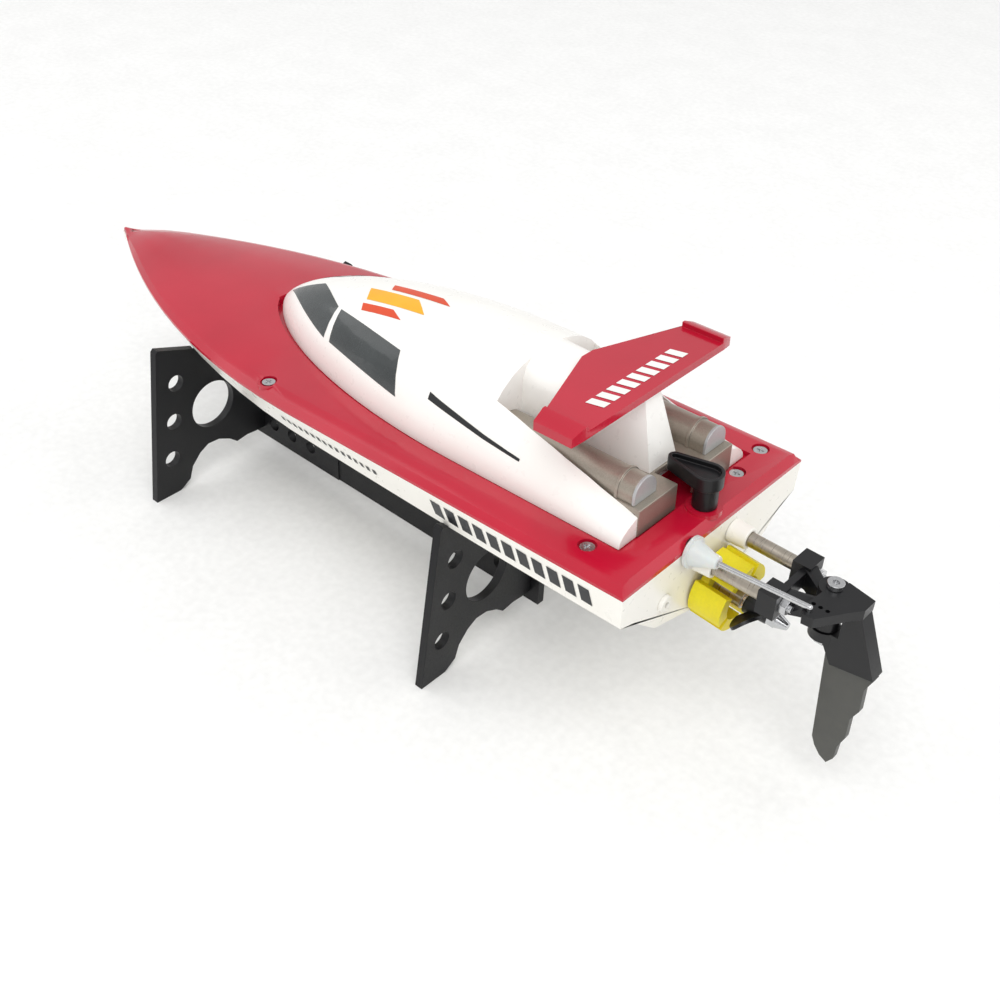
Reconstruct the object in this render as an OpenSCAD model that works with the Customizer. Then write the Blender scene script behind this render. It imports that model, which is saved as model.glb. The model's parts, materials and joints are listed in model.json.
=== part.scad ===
// Radio-controlled racing boat, about 35 cm overall, resting on its display stand.
// +X points to the bow, +Y to port, +Z up. Millimetres. z = 0 is the ground under the stand.

/* [Hull] */
// Length of the hull from transom to bow tip
hull_l = 285; // [240:1:340]
// Beam across the deck edge
hull_beam = 90; // [76:1:108]
// Height of the deck edge at the transom
deck_edge_z = 73.8; // [68:0.5:84]
// Fall of the deck edge from transom to bow
sheer_fall = 11; // [4:0.5:14]
// Share of the hull length that keeps its full beam
parallel_share = 0.465; // [0.35:0.005:0.6]
// Height of the hull side, from chine to deck edge
side_h = 10.4; // [8:0.2:14]
// Height of the keel line
keel_z = 44.6; // [40:0.2:50]
// Hull wall thickness
wall_t = 1.8; // [1.2:0.1:3]

/* [Deck] */
// Deck skin thickness
deck_t = 1.6; // [1.2:0.1:2.4]
// Rise of the deck above its edge
deck_rise = 4.2; // [3:0.1:6]
// Width of the sloping outer flank
flank_w = 5; // [3:0.5:8]
// Depth of the recess that the canopy stands in
recess_d = 1.5; // [0.8:0.1:2]
// Diameter of a deck screw's head
screw_head_d = 4.4; // [3.6:0.1:6]
// Diameter of a deck screw's shank
screw_shank_d = 2; // [1.6:0.1:2.6]

/* [Hatch] */
// Length of the hatch opening
hatch_l = 104; // [90:1:110]
// Width of the hatch opening
hatch_w = 44; // [36:1:48]
// Thickness of the inner lid
lid_t = 2; // [1.2:0.1:3]
// Thickness of the lid seal
seal_t = 1; // [0.6:0.1:1.6]

/* [Canopy] */
// Length of the canopy
canopy_l = 175; // [150:1:190]
// Width of the canopy at its base
canopy_w = 62; // [54:1:70]
// Height of the canopy above the recess
canopy_h = 31.5; // [26:0.5:36]
// Canopy wall thickness
canopy_t = 1.6; // [1.2:0.1:2.4]
// Distance from the transom to the canopy's rear end
canopy_aft = 12.5; // [11:0.5:20]
// Length of the exhaust trench
trench_l = 53; // [40:1:64]
// Width of the exhaust trench
trench_w = 46; // [42:1:50]
// Outside width of an exhaust pipe
pipe_w = 10; // [8:0.5:11]
// Distance of an exhaust pipe from the centre plane
pipe_y = 17.2; // [15:0.2:17.6]

/* [Wing] */
// Span of the wing
wing_span = 75; // [60:1:84]
// Chord of the wing at its tips
wing_tip_chord = 15; // [10:0.5:20]
// Chord of the wing at its middle
wing_root_chord = 26; // [20:0.5:32]
// Thickness of the wing
wing_t = 2.6; // [2:0.1:4]
// Clear height of the wing over the spine
wing_gap = 0.4; // [0.3:0.1:2]

/* [Stand] */
// Distance of the rear stand plate from the transom
plate_rear_x = 67; // [50:1:90]
// Distance between the two stand plates
plate_pitch = 137.6; // [110:1:150]
// Thickness of a stand plate
plate_t = 3; // [2:0.1:4]
// Width over the stand's feet
stand_w = 109; // [96:1:124]
// Thickness of the stand rail
rail_t = 3; // [2:0.1:4]
// Height of the stand rail
rail_h = 12; // [9:0.5:16]

/* [Drive] */
// Diameter of the propeller shaft
shaft_d = 3; // [2:0.1:4]
// Outside diameter of the stuffing tube
tube_d = 6; // [5.4:0.1:8]
// Downward tilt of the propeller shaft, in degrees
shaft_tilt = 4; // [3:0.5:5]
// Diameter of the propeller
prop_d = 28; // [22:0.5:28]
// Height of the shaft where it leaves the transom
shaft_z = 54.8; // [53:0.2:56]
// Diameter of the motor can
motor_d = 24.4; // [20:0.2:25]
// Length of the motor can
motor_l = 32; // [26:0.5:36]

/* [Rudder] */
// Distance of the rudder pivot behind the transom
pivot_back = 38.7; // [37:0.5:50]
// Height of the rudder head's top face
head_z = 75; // [72:0.5:80]
// Diameter of the rudder pivot screw
pivot_d = 3; // [2:0.1:4]
// Length of the tiller arm
tiller_arm = 13.5; // [11:0.5:16]
// Depth of the rudder blade below the head
blade_depth = 46; // [36:1:56]
// Diameter of the outrigger tubes
outrigger_d = 4.6; // [3.6:0.1:6]
// Distance between the outrigger tubes
outrigger_pitch = 17.8; // [15:0.1:22]
// Diameter of the pushrod wire
rod_d = 1.6; // [1.2:0.1:2]

/* [Hidden] */
$fn = 40;

// Clearances between pieces that are fitted to each other
run_gap = 0.05;     // a shaft turning in its bush
slide_gap = 0.3;    // a loose fit between two bodies
fit_gap = 0.1;      // a push fit between two pieces of one body
rest_gap = 0.3;     // the hull over its cradle, the canopy over its recess
eps = 0.02;         // how far a cut runs past a face

half_beam = hull_beam / 2;
sheer_deg = atan(sheer_fall / hull_l);

function clamp(v, lo, hi) = min(hi, max(lo, v));

// Hull lines: deck edge, chine and keel at distance x from the transom
bow_from = parallel_share * hull_l;
stem_from = 0.68 * hull_l;
function deck_b(x) =
    max(0.7, half_beam * (1 - pow(clamp((x - bow_from) / (hull_l - bow_from), 0, 1), 2.06)));
function edge_z(x) = deck_edge_z - x * tan(sheer_deg);
function stem_share(x) = clamp((x - stem_from) / (hull_l - stem_from), 0, 1);
function hull_keel(x) = keel_z + (edge_z(hull_l) - 4 - keel_z) * pow(stem_share(x), 2.4);
function chine_b(x) = deck_b(x) * (0.985 - 0.25 * pow(clamp(x / hull_l, 0, 1), 1.5));
function chine_z(x) = edge_z(x) - side_h * (1 - 0.65 * pow(stem_share(x), 3));

// One side of the hull's section, keel to deck edge, moved inward by t
function half_section(x, t) = let (k = hull_keel(x), c = chine_z(x), b = chine_b(x)) [
    [0.60 * b - 0.4 * t, k + 0.38 * (c - k) + t],
    [0.86 * b - t, k + 0.90 * (c - k) + 0.5 * t],
    [b - t, c + 0.3 * t],
    [deck_b(x) - t, edge_z(x)]
];
function flipped(half) = [for (i = [len(half) - 1 : -1 : 0]) [-half[i][0], half[i][1]]];
function at_x(x, pts) = [for (p = pts) [x, p[0], p[1]]];
function hull_ring(x, t, up) = let (
    low = half_section(x, t),
    half = up > 0 ? concat(low, [[deck_b(x) - t, edge_z(x) + up]]) : low
) at_x(x, concat([[0, hull_keel(x) + t]], half, flipped(half)));

// A closed solid through rings of equal length, each counter-clockwise seen from the bow
module loft(rings) {
    n = len(rings[0]);
    m = len(rings);
    sides = [for (i = [0 : m - 2], j = [0 : n - 1])
        let (a = i * n + j, b = i * n + (j + 1) % n) each [[a, a + n, b + n], [a, b + n, b]]];
    ends = [[for (j = [0 : n - 1]) j], [for (j = [n - 1 : -1 : 0]) (m - 1) * n + j]];
    polyhedron(points = [for (r = rings) each r], faces = concat(sides, ends), convexity = 6);
}
// Stations that crowd towards the far end
function stations(x0, x1, count) = [for (i = [0 : count]) x0 + (x1 - x0) * (1 - pow(1 - i / count, 1.5))];

// Everything is built from the transom and then moved to the middle of the object's length
module place() translate([-(hull_l - rudder_reach) / 2, 0, 0]) children();
// The deck edge's own plane, which falls towards the bow
module on_sheer() translate([0, 0, deck_edge_z]) rotate([0, sheer_deg, 0]) children();
// The propeller shaft's own line, with +X along it towards the motor
module on_shaft() translate([0, 0, shaft_z]) rotate([0, -shaft_tilt, 0]) children();
module rod_x(x0, x1, d) translate([x0, 0, 0]) rotate([0, 90, 0]) cylinder(h = x1 - x0, d = d);
module tube_x(x0, x1, d_out, d_in) difference() {
    rod_x(x0, x1, d_out);
    rod_x(x0 - eps, x1 + eps, d_in);
}
module slab(x0, y0, z0, x1, y1, z1) translate([x0, y0, z0]) cube([x1 - x0, y1 - y0, z1 - z0]);
module rounded(l, w, r) union() {
    square([l - 2 * r, w], center = true);
    square([l, w - 2 * r], center = true);
    for (sx = [-1, 1], sy = [-1, 1]) translate([sx * (l / 2 - r), sy * (w / 2 - r)]) circle(r = r);
}

// ---- Stand ----
plate_front_x = plate_rear_x + plate_pitch;
foot_y = stand_w / 2;
foot_w = 11;
plate_top_y = foot_y - 7.5;
plate_top_z = 62.5;
cradle_slope = 0.354;
rail_z = 4.6;
rail_over = 5;
rail_hole_d = 5;
rail_hole_pitch = 10.5;
web_z = 9;
leg_hole_d = 6.4;
big_hole_d = 19;
big_hole_y = 25;
big_hole_z = 30.5;
// Holes down the leg, as heights; each lies on a line that leans out towards the foot
leg_holes = [46.5, 31, 15.5];
module plate_outline() {
    side = [
        [0, web_z], [6, web_z], [10.5, web_z + 0.4], [15.6, web_z - 0.3], [19, web_z + 2.6], [24, web_z + 5],
        [29, web_z + 5.3], [foot_y - 21.5, web_z + 3.2], [foot_y - 17.5, web_z - 1], [foot_y - 15.8, 3],
        [foot_y - foot_w, 0], [foot_y, 0], [plate_top_y, plate_top_z - 1], [plate_top_y - 1, plate_top_z],
        [0, plate_top_z - cradle_slope * plate_top_y]
    ];
    polygon(concat(side, flipped([for (i = [1 : len(side) - 2]) side[i]])));
}
module stand_plate(x) {
    color("#141416") difference() {
        translate([x - plate_t / 2, 0, 0]) rotate([90, 0, 90]) linear_extrude(plate_t) difference() {
            plate_outline();
            for (s = [-1, 1]) {
                translate([s * big_hole_y, big_hole_z]) circle(d = big_hole_d);
                for (z = leg_holes) translate([s * (foot_y - 6.5 - z * 0.17), z]) circle(d = leg_hole_d);
            }
        }
        loft([for (s = [-1, 0, 1]) hull_ring(x + s * plate_t, -rest_gap, 20)]);
        rail_bar(fit_gap, 0);
    }
}
module stand_plate_front() stand_plate(plate_front_x);
module stand_plate_rear() stand_plate(plate_rear_x);
rail_x0 = plate_rear_x - rail_over;
rail_x1 = plate_front_x + rail_over;
module rail_bar(g, holes) difference() {
    slab(rail_x0 - g, -rail_t / 2 - g, rail_z - g, rail_x1 + g, rail_t / 2 + g, rail_z + rail_h + g);
    if (holes > 0) for (end = [0, 1], i = [0 : holes - 1]) {
        first = end == 0 ? plate_rear_x + 13 : plate_front_x - 7;
        step = end == 0 ? rail_hole_pitch : -rail_hole_pitch;
        translate([first + i * step, 0, rail_z + rail_h * 0.62]) rotate([90, 0, 0])
            cylinder(h = 2 * rail_t, d = rail_hole_d, center = true);
    }
}
module stand_rail() color("#141416") difference() {
    rail_bar(0, 3);
    // The middle stretch is thinner, which leaves a step at each end of it
    for (s = [-1, 1]) translate([(rail_x0 + rail_x1) / 2, s * rail_t / 2, rail_z + rail_h / 2])
        cube([0.37 * plate_pitch, 0.8, rail_h + 1], center = true);
}

// ---- Hull ----
hull_end_t = 2;
collar_y = outrigger_pitch / 2;
outrigger_z = 67.8;
rod_y = tiller_arm;
boot_hole_d = 7.4;
boot_z = 73.1;
screw_spots = [[19.4, half_beam - 8.6], [10.1, -half_beam + 8.1], [8.6, -21.6],
    [150.6, half_beam - 5.2], [150.6, -half_beam + 5.2]];
screw_post_d = 5;
module hull_shell() color("#f4f2ea") difference() {
    union() {
        difference() {
            loft([for (x = stations(0, hull_l, 22)) hull_ring(x, 0, 0)]);
            loft([for (x = stations(hull_end_t, hull_l - 14, 12)) hull_ring(x, wall_t, 8)]);
        }
        // Pads inside the transom that back the tubes
        for (s = [-1, 1]) translate([0, s * collar_y, outrigger_z]) rod_x(hull_end_t / 2, 8, 9);
    }
    for (s = [-1, 1]) translate([0, s * collar_y, outrigger_z]) rod_x(-1, 9, outrigger_d);
    on_shaft() rod_x(-10, 14, tube_d);
    translate([0, rod_y, boot_z]) rod_x(-1, 6, boot_hole_d);
    translate([0, outlet_y, outlet_z]) rod_x(-1, 6, outlet_d);
}
outlet_y = 24;
outlet_z = 60;
outlet_d = 4;
module water_outlet() color("#e9e7e0") translate([0, outlet_y, outlet_z]) difference() {
    union() {
        rod_x(-1.4, 0, outlet_d + 1.6);
        rod_x(-eps, 7, outlet_d);
    }
    rod_x(-2, 8, 1.8);
}

// ---- Deck ----
lip_h = 1;
deck_ramp = 2;
function ramp(x) = clamp(x / deck_ramp, 0, 1);
camber = 0.3;
crease_h = 2.1;
crease_from = 150;
function crest(x) = (camber + crease_h * clamp((x - crease_from) / 60, 0, 1)) * min(1, deck_b(x) / 16);
function deck_top_ring(x) = let (
    b = deck_b(x), z = edge_z(x), fl = min(flank_w, 0.36 * b),
    r = max(lip_h + 0.3, deck_rise * min(1, b / 12) * ramp(x)), lip = min(lip_h, 0.5 * r),
    half = [[b, z], [b, z + lip], [b - 0.35 * fl, z + lip + 0.6 * (r - lip)], [b - fl, z + r],
        [0.45 * b, z + r + 0.35 * crest(x)]]
) at_x(x, concat(half, [[0, z + r + crest(x)]], flipped(half)));
function deck_under_ring(x) = let (
    b = deck_b(x), z = edge_z(x), fl = min(flank_w, 0.36 * b),
    u = max(0.3, (deck_rise - recess_d - deck_t) * min(1, b / 20)),
    half = [[b - wall_t, z - 1], [b - wall_t, z], [b - 1.3 * fl, z + u], [0.3 * b, z + u + 0.5 * crest(x)]]
) at_x(x, concat(half, [[0, z + u + 0.8 * crest(x)]], flipped(half)));
deck_stations = concat([0, deck_ramp], stations(6, hull_l - 0.6, 26));
recess_side = 1.6;
coaming_h = 3;
coaming_t = 1.6;
hatch_x = canopy_aft + 12;
recess_floor = deck_rise - recess_d;
module hatch_shape(grow) translate([hatch_x + hatch_l / 2, 0]) rounded(hatch_l + 2 * grow, hatch_w + 2 * grow, 6 + grow);
module deck() color("#c8203a") difference() {
    union() {
        difference() {
            union() {
                difference() {
                    loft([for (x = deck_stations) deck_top_ring(x)]);
                    loft([for (x = stations(hull_end_t, hull_l - 14, 18)) deck_under_ring(x)]);
                }
                deck_posts();
            }
            on_sheer() translate([0, 0, recess_floor]) linear_extrude(20)
                canopy_plan(recess_side);
        }
        on_sheer() translate([0, 0, recess_floor - deck_t]) linear_extrude(deck_t + coaming_h)
            hatch_shape(coaming_t);
        on_sheer() translate([knob_x, 0, deck_rise - 0.5]) cylinder(h = boss_h + 0.5, d = boss_d);
    }
    on_sheer() translate([0, 0, -20]) linear_extrude(40) hatch_shape(0);
    on_sheer() translate([knob_x, 0, -20]) cylinder(h = 40, d = knob_pin_d + 2 * run_gap);
    for (s = screw_spots) on_sheer() translate([s[0], s[1], 0]) {
        translate([0, 0, deck_rise - head_sink]) cylinder(h = 6, d = screw_head_d + 1.2);
        translate([0, 0, -1]) cylinder(h = 20, d = screw_shank_d);
    }
    translate([0, rod_y, boot_z]) rod_x(-1, 5, boot_hole_d);
}
head_sink = 1.4;
module deck_posts() on_sheer() for (s = screw_spots) translate([s[0], s[1], 0.4])
    cylinder(h = deck_rise - 0.9, d = screw_head_d + 3);
module deck_screws() color("#b9bcc0") on_sheer() for (s = screw_spots) translate([s[0], s[1], deck_rise - head_sink])
    difference() {
        union() {
            cylinder(h = 0.9, d = screw_head_d);
            translate([0, 0, -2.4]) cylinder(h = 2.5, d = screw_shank_d);
        }
        for (a = [0, 90]) rotate(a) translate([0, 0, 0.9]) cube([2.4, 0.6, 1], center = true);
    }

// ---- Transom hardware ----
tube_len = 24;
tube_inset = 6;
collar_len = 6.5;
collar_d = 7;
block_len = 6;
block_w = 7.5;
block_h = 8;
nut_d = 5;
nut_t = 2.4;
module each_side() for (s = [-1, 1]) translate([0, s * collar_y, outrigger_z]) children();
module outrigger_tubes() color("#b5aea4") each_side() tube_x(-tube_len, tube_inset, outrigger_d, outrigger_d - 1.2);
module tube_collars() color("#f4f2ea") each_side() rotate([0, -90, 0]) difference() {
    cylinder(h = collar_len, d1 = collar_d + 0.8, d2 = collar_d);
    translate([0, 0, -1]) cylinder(h = collar_len + 2, d = outrigger_d);
}
barrel_d = 8;
fork_gap = 0.4;
head_t = 3.4;
head_low_z = 61;
barrel_z0 = head_low_z + fork_gap;
barrel_z1 = head_z - head_t - fork_gap;
module rudder_bracket() color("#1b1b1d") difference() {
    union() {
        each_side() translate([-tube_len - block_len / 2 + 1.5, 0, 0]) cube([block_len, block_w, block_h], center = true);
        for (s = [-1, 1]) hull() {
            translate([-tube_len - 3, s * (collar_y - 1.5), outrigger_z]) cube([3, 3, 6.5], center = true);
            translate([-pivot_back + 2, s * 1.6, (barrel_z0 + barrel_z1) / 2]) cube([2, 2.4, 6], center = true);
        }
        slab(-tube_len - 3.6, -collar_y, outrigger_z - 2.6, -tube_len - 1.4, collar_y, outrigger_z + 2.6);
        translate([-pivot_back, 0, barrel_z0]) cylinder(h = barrel_z1 - barrel_z0, d = barrel_d);
    }
    each_side() rod_x(-tube_len, 5, outrigger_d);
    each_side() rod_x(-tube_len - 9, 5, 2.2);
    each_side() rod_x(-tube_len - 12, -tube_len - block_len + 1.5, nut_d + 0.8);
    translate([-pivot_back, 0, 0]) cylinder(h = 100, d = pivot_d);
    // The windows between the ribs
    translate([-tube_len - 6, 0, 0]) cylinder(h = 100, d = 3.4);
}
module tube_nuts() color("#c9cacc") each_side() {
    rod_x(-tube_len - block_len + 1.5 - nut_t, -tube_len - block_len + 1.5, nut_d, $fn = 6);
    rod_x(-tube_len - block_len + 1.5 - nut_t - 1, -tube_len - 1, 2.2);
}
cap_d = 5;
module pivot_screw() color("#c9cacc") translate([-pivot_back, 0, 0]) difference() {
    union() {
        translate([0, 0, head_low_z - head_t - 2]) cylinder(h = head_z - head_low_z + head_t + 2.2, d = pivot_d);
        translate([0, 0, head_z + 0.1]) cylinder(h = 1.7, d = cap_d);
        translate([0, 0, head_low_z - head_t - 2.5]) cylinder(h = 2.2, d = cap_d + 0.4, $fn = 6);
    }
    translate([0, 0, head_z + 0.7]) cylinder(h = 3, d = 2.2, $fn = 6);
}
boot_len = 9;
boot_off = 0.45;
module pushrod_boot() color("#e6e4de") translate([-boot_off, rod_y, boot_z]) rotate([0, -90 + rod_rise, 0]) difference() {
    union() {
        cylinder(h = 1.2, d = 10);
        translate([0, 0, 1]) cylinder(h = boot_len - 1, d1 = 8.4, d2 = 3.4);
    }
    translate([0, 0, -0.1]) cylinder(h = 5, d1 = 7.4, d2 = 4);
    cylinder(h = boot_len + 1, d = rod_d + 0.1);
    // The flange is trimmed where it meets the tube's collar
    rotate([0, 90 - rod_rise, 0]) translate([boot_off, -rod_y, -boot_z]) each_side() rod_x(-20, 3, collar_d + 1.8);
}

// ---- Drive ----
tube_aft = -13;
tube_fore = 44;
bush_l = 5;
coupling_x = 47;
coupling_l = 13;
motor_x = 63;
mount_t = 2.4;
can_t = 1.2;
axle_d = 2.3;
hub_d = 6.4;
hub_l = 8;
hub_x = tube_aft - 1 - hub_l;
prop_nut_l = 4.5;
prop_nut_d = 5.5;
module stuffing_tube() color("#b9bcc0") on_shaft() tube_x(tube_aft, tube_fore, tube_d, tube_d - 1.4);
module shaft_bushes() color("#b48a3c") on_shaft() for (x = [tube_aft, tube_fore - bush_l])
    tube_x(x, x + bush_l, tube_d - 1.4, shaft_d + 2 * run_gap);
petals = 5;
guard_d = 23;
guard_l = 11;
guard_gap_deg = 14;
module shaft_guard() color("#e8d60c") on_shaft() difference() {
    union() {
        intersection() {
            tube_x(-1 - guard_l, -0.8, guard_d, guard_d - 8);
            union() for (i = [0 : petals - 1]) rotate([55 + i * 360 / petals, 0, 0]) rotate([0, -90, 0])
                rotate(-180 / petals + guard_gap_deg / 2)
                    rotate_extrude(angle = 360 / petals - guard_gap_deg) square([guard_d, guard_l + 4]);
        }
        tube_x(-3.4, -0.8, guard_d - 7.6, tube_d);
    }
    rod_x(-30, 5, tube_d);
}
module propeller_shaft() color("#c9cacc") on_shaft() rod_x(hub_x - prop_nut_l + 1, coupling_x + 5, shaft_d);
module propeller() color("#1b1b1d") on_shaft() translate([hub_x, 0, 0]) difference() {
    union() {
        rotate([0, 90, 0]) cylinder(h = hub_l, d1 = hub_d - 0.6, d2 = hub_d + 0.6);
        for (a = [100, 280]) rotate([a, 0, 0]) blade();
    }
    rod_x(-1, hub_l + 1, shaft_d);
}
// A blade is a thin plate swept round the hub and set at the propeller's pitch
blade_t = 1.1;
blade_pitch_deg = 38;
module blade() translate([hub_l / 2, 0, 0]) rotate([0, 0, blade_pitch_deg]) rotate([0, 90, 0]) linear_extrude(blade_t, center = true)
    intersection() {
        translate([-prop_d * 0.27, 0]) scale([1, 0.62]) circle(d = prop_d * 0.46);
        circle(d = prop_d);
    }
module propeller_nut() color("#c9cacc") on_shaft() difference() {
    union() {
        rod_x(hub_x - 2.6, hub_x, prop_nut_d, $fn = 6);
        translate([hub_x - 2.6, 0, 0]) rotate([0, -90, 0]) cylinder(h = prop_nut_l - 1, d1 = prop_nut_d - 0.6, d2 = 2.4);
    }
    rod_x(hub_x - prop_nut_l + 1, hub_x + 1, shaft_d);
}
module shaft_coupling() color("#b48a3c") on_shaft() difference() {
    rod_x(coupling_x, coupling_x + coupling_l, 8);
    rod_x(coupling_x - 1, coupling_x + 5, shaft_d);
    rod_x(coupling_x + coupling_l - 5, coupling_x + coupling_l + 1, axle_d);
}
module motor_rotor() color("#7d7f83") on_shaft() {
    rod_x(coupling_x + coupling_l - 5, motor_x + motor_l - can_t - 0.5, axle_d);
    rod_x(motor_x + 5, motor_x + motor_l - 5, motor_d - 2 * can_t - 3);
}
module motor_can() color("#8f9296") on_shaft() difference() {
    union() {
        rod_x(motor_x, motor_x + motor_l, motor_d);
        rod_x(motor_x - 2, motor_x, 8);
    }
    rod_x(motor_x + can_t, motor_x + motor_l - can_t, motor_d - 2 * can_t);
    rod_x(motor_x - 3, motor_x + 3, axle_d + 2 * run_gap);
}
bed_z = 51.2;
bed_w = 10;
bed_over = 2;
bulkhead_top = 68;
// A bulkhead that fills the hull's section between two stations
module bulkhead(x0, x1, top) intersection() {
    loft([for (x = [x0, x1]) hull_ring(x, wall_t + 2 * fit_gap, 8)]);
    slab(x0 - 1, -half_beam, 0, x1 + 1, half_beam, top);
}
// The bed that carries the battery, and the posts under the servo and the receiver
floor_slope = 0.27;
post_d = 4;
// Height that just clears the inside of the hull's V bottom, out to distance y
function floor_at(y) = keel_z + wall_t + floor_slope * y;
module inner_frame() color("#f4f2ea") {
    difference() {
        slab(battery_x0 - bed_over, -bed_w / 2, floor_at(bed_w / 2), battery_x1 + bed_over, bed_w / 2, bed_z);
        slab(strap_x - strap_w / 2 - fit_gap, -bed_w, bed_z - strap_t,
            strap_x + strap_w / 2 + fit_gap, bed_w, bed_z + 1);
    }
    for (p = post_spots) let (foot = floor_at(abs(p[1]) + post_d / 2))
        translate([p[0], p[1], foot]) cylinder(h = p[2] - foot, d = post_d);
}
module motor_mount() color("#2b2c30") {
    difference() {
        intersection() {
            bulkhead(motor_x - mount_t - 1, motor_x + 4, bulkhead_top);
            on_shaft() slab(motor_x - mount_t, -half_beam, -40, motor_x, half_beam, 40);
        }
        on_shaft() rod_x(motor_x - 10, motor_x + 10, 8);
    }
    difference() {
        bulkhead(motor_x + motor_l - 10, motor_x + motor_l - 6, shaft_z + motor_x * tan(shaft_tilt) + 3);
        on_shaft() rod_x(motor_x, motor_x + motor_l + 10, motor_d);
    }
}
servo_x = 30;
horn_z = 67;
servo_l = 20;
servo_w = 11;
servo_h = 12;
horn_t = 1.6;
horn_y = servo_w / 2 + tube_d / 2 + 2;
rod_in_y = horn_y + tiller_arm;
servo_z0 = horn_z - 1.2 - servo_h;
module servo_case() color("#202a44") {
    slab(servo_x - 5.5, horn_y - servo_w / 2, servo_z0, servo_x - 5.5 + servo_l, horn_y + servo_w / 2, servo_z0 + servo_h);
    translate([servo_x, horn_y, servo_z0 + servo_h]) cylinder(h = 0.9, d = 5);
}
module servo_horn() color("#f2f2f2") translate([servo_x, horn_y, 0]) difference() {
    union() {
        translate([0, 0, horn_z]) cylinder(h = horn_t + 1, d = 6);
        translate([0, 0, horn_z]) linear_extrude(horn_t) union() {
            translate([-2, 0]) square([4, tiller_arm]);
            translate([0, tiller_arm]) circle(d = 4.4);
        }
    }
    translate([0, tiller_arm, horn_z - 1]) cylinder(h = 5, d = rod_d + 2 * slide_gap);
    translate([0, 0, horn_z + 1.2]) cylinder(h = 5, d = 2.6);
}
receiver_z0 = 56;
// Where each post stands, and the height of what it carries
post_spots = [[servo_x - 2, horn_y - 2, servo_z0], [servo_x + 10, horn_y - 2, servo_z0],
    [servo_x - 4, -16, receiver_z0], [servo_x + 20, -16, receiver_z0]];
module receiver_box() color("#26272b") difference() {
    slab(servo_x - 8, -26, receiver_z0, servo_x + 24, -6, receiver_z0 + 8);
    slab(servo_x - 5, -23, receiver_z0 + 7.4, servo_x + 21, -9, receiver_z0 + 9);
}
battery_x0 = 100;
battery_x1 = 160;
battery_w = 30;
battery_h = 15;
strap_x = (battery_x0 + battery_x1) / 2;
strap_w = 16;
strap_t = 1;
module battery_pack() color("#2f5fa8")
    slab(battery_x0, -battery_w / 2, bed_z, battery_x1, battery_w / 2, bed_z + battery_h);
module battery_strap() color("#151515") difference() {
    slab(strap_x - strap_w / 2, -battery_w / 2 - strap_t, bed_z - strap_t,
        strap_x + strap_w / 2, battery_w / 2 + strap_t, bed_z + battery_h + strap_t);
    slab(battery_x0, -battery_w / 2, bed_z, battery_x1, battery_w / 2, bed_z + battery_h);
}

// ---- Steering ----
rudder_reach = pivot_back + 18.4;
blade_t_rudder = 2.4;
gusset_t = 5.6;
rod_z = head_z + 1.2;
rod_rise = atan((rod_z - boot_z) / pivot_back);
spare_holes = [[0.2, -3.4], [-2, -3.4], [-4.2, -3.4]];
nut_room_z = head_low_z - head_t - 3.2;
module rudder() color("#232325") translate([-pivot_back, 0, 0]) difference() {
    union() {
        // Tiller plate on top, fork plate below, and the web behind them
        translate([0, 0, head_z - head_t]) linear_extrude(head_t) tiller_plate();
        translate([0, 0, head_low_z - head_t]) linear_extrude(head_t) union() {
            circle(d = 9);
            translate([-10.5, -gusset_t / 2]) square([10.5, gusset_t]);
        }
        side_plate(gusset_t, [[-5.6, head_z], [-10.8, head_z - 3.6], [-rudder_reach + pivot_back, head_z - 22],
            [-5, head_low_z - head_t - 7], [-1, head_low_z - head_t], [-5.6, head_low_z - head_t]]);
        side_plate(blade_t_rudder, [[-1, head_low_z - head_t], [-2.4, head_low_z - 8], [-5, head_z - blade_depth - 9],
            [-6.4, head_z - blade_depth - 12], [-8.6, head_z - blade_depth - 14.6], [-11.2, head_z - blade_depth - 16],
            [-13, head_z - blade_depth - 13], [-13.2, head_z - blade_depth - 7.5], [-14.8, head_z - blade_depth - 3],
            [-14.6, head_z - blade_depth + 5], [-16.6, head_z - blade_depth + 9.5], [-16.2, head_z - 28],
            [-rudder_reach + pivot_back, head_z - 22.5], [-10, head_z - 8]]);
    }
    translate([0, 0, nut_room_z]) cylinder(h = 100, d = pivot_d + 2 * run_gap);
    translate([0, 0, nut_room_z]) cylinder(h = head_low_z - head_t - nut_room_z, d = cap_d + 1.6);
    translate([0, tiller_arm, 0]) cylinder(h = 100, d = rod_d + 2 * run_gap);
    for (p = spare_holes) translate([p[0] + 0.5, tiller_arm + p[1], head_z - 2.4]) cylinder(h = 3, d = 1.3);
    // Room for the bracket's barrel between the two plates
    translate([0, 0, head_low_z]) cylinder(h = head_z - head_t - head_low_z, d = barrel_d + 2.4);
}
module side_plate(t, outline) rotate([90, 0, 0]) linear_extrude(t, center = true) polygon(outline);
module tiller_plate() {
    circle(d = 9);
    polygon([[1.5, 4], [2.4, tiller_arm - 1], [0.6, tiller_arm + 2.4], [-2.6, tiller_arm + 2], [-9, 5.4], [-11, gusset_t / 2],
        [-11, -gusset_t / 2], [-2, -4.4]]);
}
module rod_between(a, b) let (v = b - a, l = norm(v))
    translate(a) rotate([0, acos(v[2] / l), atan2(v[1], v[0])]) cylinder(h = l, d = rod_d);
module pushrod() color("#b9bcc0") {
    p = [[-pivot_back, rod_y, rod_z], [8, rod_y, rod_z - (pivot_back + 8) * tan(rod_rise)],
        [20, rod_in_y, horn_z + 4.6], [servo_x, rod_in_y, horn_z + 4.6]];
    for (i = [0 : 2]) rod_between(p[i], p[i + 1]);
    for (q = p) translate(q) sphere(d = rod_d + 0.16);
    translate([-pivot_back, rod_y, head_z - head_t]) cylinder(h = rod_z - head_z + head_t, d = rod_d);
    translate([servo_x, rod_in_y, horn_z - 0.4]) cylinder(h = 5, d = rod_d);
}

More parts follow.
